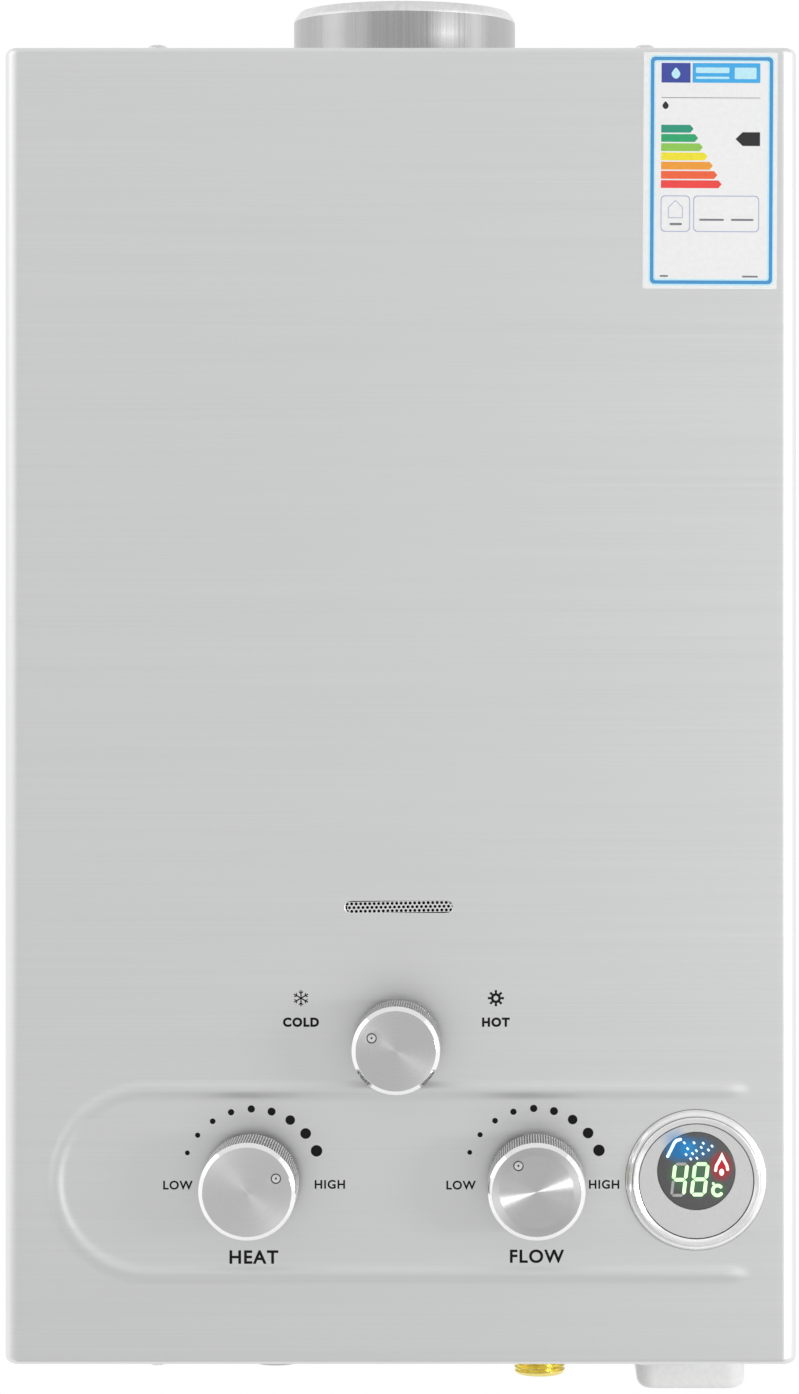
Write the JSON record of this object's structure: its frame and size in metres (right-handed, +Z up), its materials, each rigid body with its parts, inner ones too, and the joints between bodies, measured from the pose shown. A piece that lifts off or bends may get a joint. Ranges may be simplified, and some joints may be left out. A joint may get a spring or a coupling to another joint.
{
  "type": "tankless water heater",
  "caption": "Wall-hung tankless gas water heater with a folded stainless cover, round flue collar, turned control knobs, a small round display and pipe threads below.",
  "frame": {"origin": "centre of the rear plate's wall face", "axes": "+Y into the wall, so the front panel faces -Y; +Z up; +X to the right seen from the front"},
  "size_m": [0.31, 0.175, 0.5545],
  "materials": {
    "stainless": "brushed stainless sheet",
    "galvanised": "zinc-coated sheet",
    "screw_steel": "bright zinc plate",
    "flue_steel": "drawn stainless tube",
    "turned_aluminium": "spun face, ribbed side",
    "cast_aluminium": "die-cast, as cast",
    "copper": "bare copper",
    "brass": "bare machined brass",
    "burner_steel": "pressed sheet",
    "spring_steel": "spring steel",
    "ceramic_white": "glazed electrode sleeve",
    "black_plastic": "moulded",
    "red_plastic": "moulded",
    "white_plastic": "moulded, smooth",
    "silver_plastic": "satin silver coat",
    "dark_window": "tinted window",
    "board_green": "circuit board",
    "lead_red": "silicone sheath",
    "diaphragm_rubber": "moulded rubber",
    "fibre": "fibre washer",
    "cell_jacket": "plain metal jacket"
  },
  "bodies": {
    "heater": {"front_cover": "stainless", "rear_frame": "galvanised", "cover_screws": "screw_steel", "viewing_grille": "stainless", "flue_collar": "flue_steel", "draught_hood": "galvanised", "combustion_shell": "copper", "exchanger_fins": "copper", "exchanger_tubes": "copper", "jacket_coil": "copper", "overheat_cutout": "black_plastic", "burner_bars": "burner_steel", "burner_frame": "galvanised", "gas_manifold": "cast_aluminium", "injector_nozzles": "brass", "electrode_bracket": "galvanised", "spark_electrode": "ceramic_white", "flame_probe": "ceramic_white", "spark_lead": "lead_red", "pulse_igniter": "black_plastic", "gas_valve_body": "cast_aluminium", "gas_solenoid": "screw_steel", "gas_inlet": "cast_aluminium", "gas_feed_pipe": "cast_aluminium", "season_valve_body": "cast_aluminium", "water_valve_body": "brass", "diaphragm": "diaphragm_rubber", "diaphragm_cover": "brass", "diaphragm_screws": "screw_steel", "return_spring": "spring_steel", "switch_bracket": "galvanised", "microswitch": "black_plastic", "relief_valve": "brass", "cold_inlet": "brass", "cold_pipe": "copper", "hot_pipe": "copper", "hot_outlet": "brass", "union_nuts": "brass", "seal_washers": "fibre", "display_bezel": "silver_plastic", "display_face": "silver_plastic", "display_lens": "dark_window", "display_module": "board_green", "battery_box": "white_plastic", "battery_cells": "cell_jacket", "box_contacts": "spring_steel", "battery_lead": "lead_red"},
    "gas_control": {"gas_knob": "turned_aluminium", "gas_knob_core": "black_plastic", "gas_stem": "brass"},
    "water_control": {"water_knob": "turned_aluminium", "water_knob_core": "black_plastic", "water_stem": "brass"},
    "season_control": {"season_knob": "turned_aluminium", "season_knob_core": "black_plastic", "season_stem": "brass"},
    "water_rod": {"push_rod": "spring_steel"},
    "plunger": {"switch_plunger": "red_plastic"},
    "battery_door": {"battery_lid": "white_plastic", "lid_contact": "spring_steel"}
  },
  "joints": [
    {"name": "gas_turn", "type": "hinge", "parent": "heater", "child": "gas_control", "pos_m": [-0.058, -0.14, -0.185], "axis": [0, 1, 0], "range_deg": [-125, 0]},
    {"name": "water_turn", "type": "hinge", "parent": "heater", "child": "water_control", "pos_m": [0.053, -0.14, -0.185], "axis": [0, 1, 0], "range_deg": [-30, 98]},
    {"name": "season_turn", "type": "hinge", "parent": "heater", "child": "season_control", "pos_m": [-0.001, -0.14, -0.131], "axis": [0, 1, 0], "range_deg": [0, 124]},
    {"name": "rod_push", "type": "slide", "parent": "heater", "child": "water_rod", "axis": [-1, 0, 0], "range_m": [0, 0.0025], "stiffness_N_per_m": 800, "deforming": ["return_spring"]},
    {"name": "switch_press", "type": "slide", "parent": "heater", "child": "plunger", "axis": [-1, 0, 0], "range_m": [0, 0.0025]},
    {"name": "battery_door_swing", "type": "hinge", "parent": "heater", "child": "battery_door", "pos_m": [0.1154, -0.0289, -0.2738], "axis": [1, 0, 0], "range_deg": [0, 100]}
  ],
  "couplings": [
    {"joint": "switch_press", "follows": "rod_push", "ratio": 1}
  ]
}
